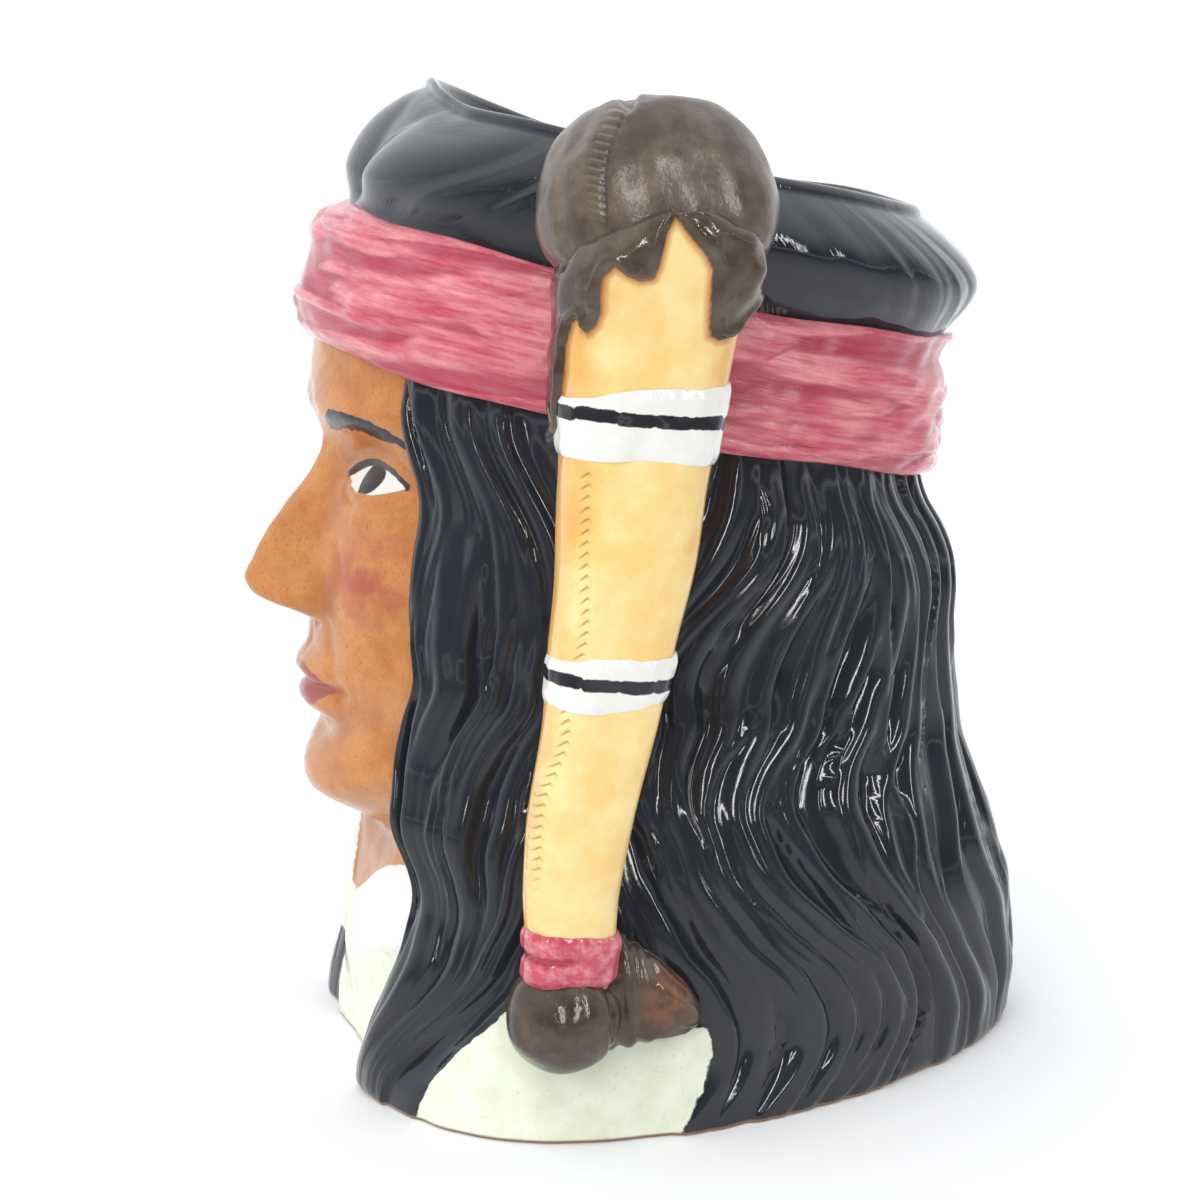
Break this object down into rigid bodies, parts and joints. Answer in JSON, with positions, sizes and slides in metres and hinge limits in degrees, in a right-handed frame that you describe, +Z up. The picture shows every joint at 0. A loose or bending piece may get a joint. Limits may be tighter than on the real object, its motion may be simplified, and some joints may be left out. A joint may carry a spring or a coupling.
{
  "type": "character jug",
  "caption": "Glazed earthenware jug in the form of a long-haired head with a headband, open at the crown, with a bound war club as its handle.",
  "frame": {"origin": "middle of the flat underside, on the plane that the jug stands on", "axes": "+Z up along the jug, -Y the way the face looks, +X towards the club handle"},
  "size_m": [0.1166, 0.1145, 0.1411],
  "materials": {
    "glaze": "gloss glaze over underglaze painting: blue-black hair, tan skin, maroon-pink headband, pale grey-green shirt, ochre and dark brown club with white and black bands"
  },
  "bodies": {
    "root": {"jug": "glaze"}
  },
  "joints": []
}
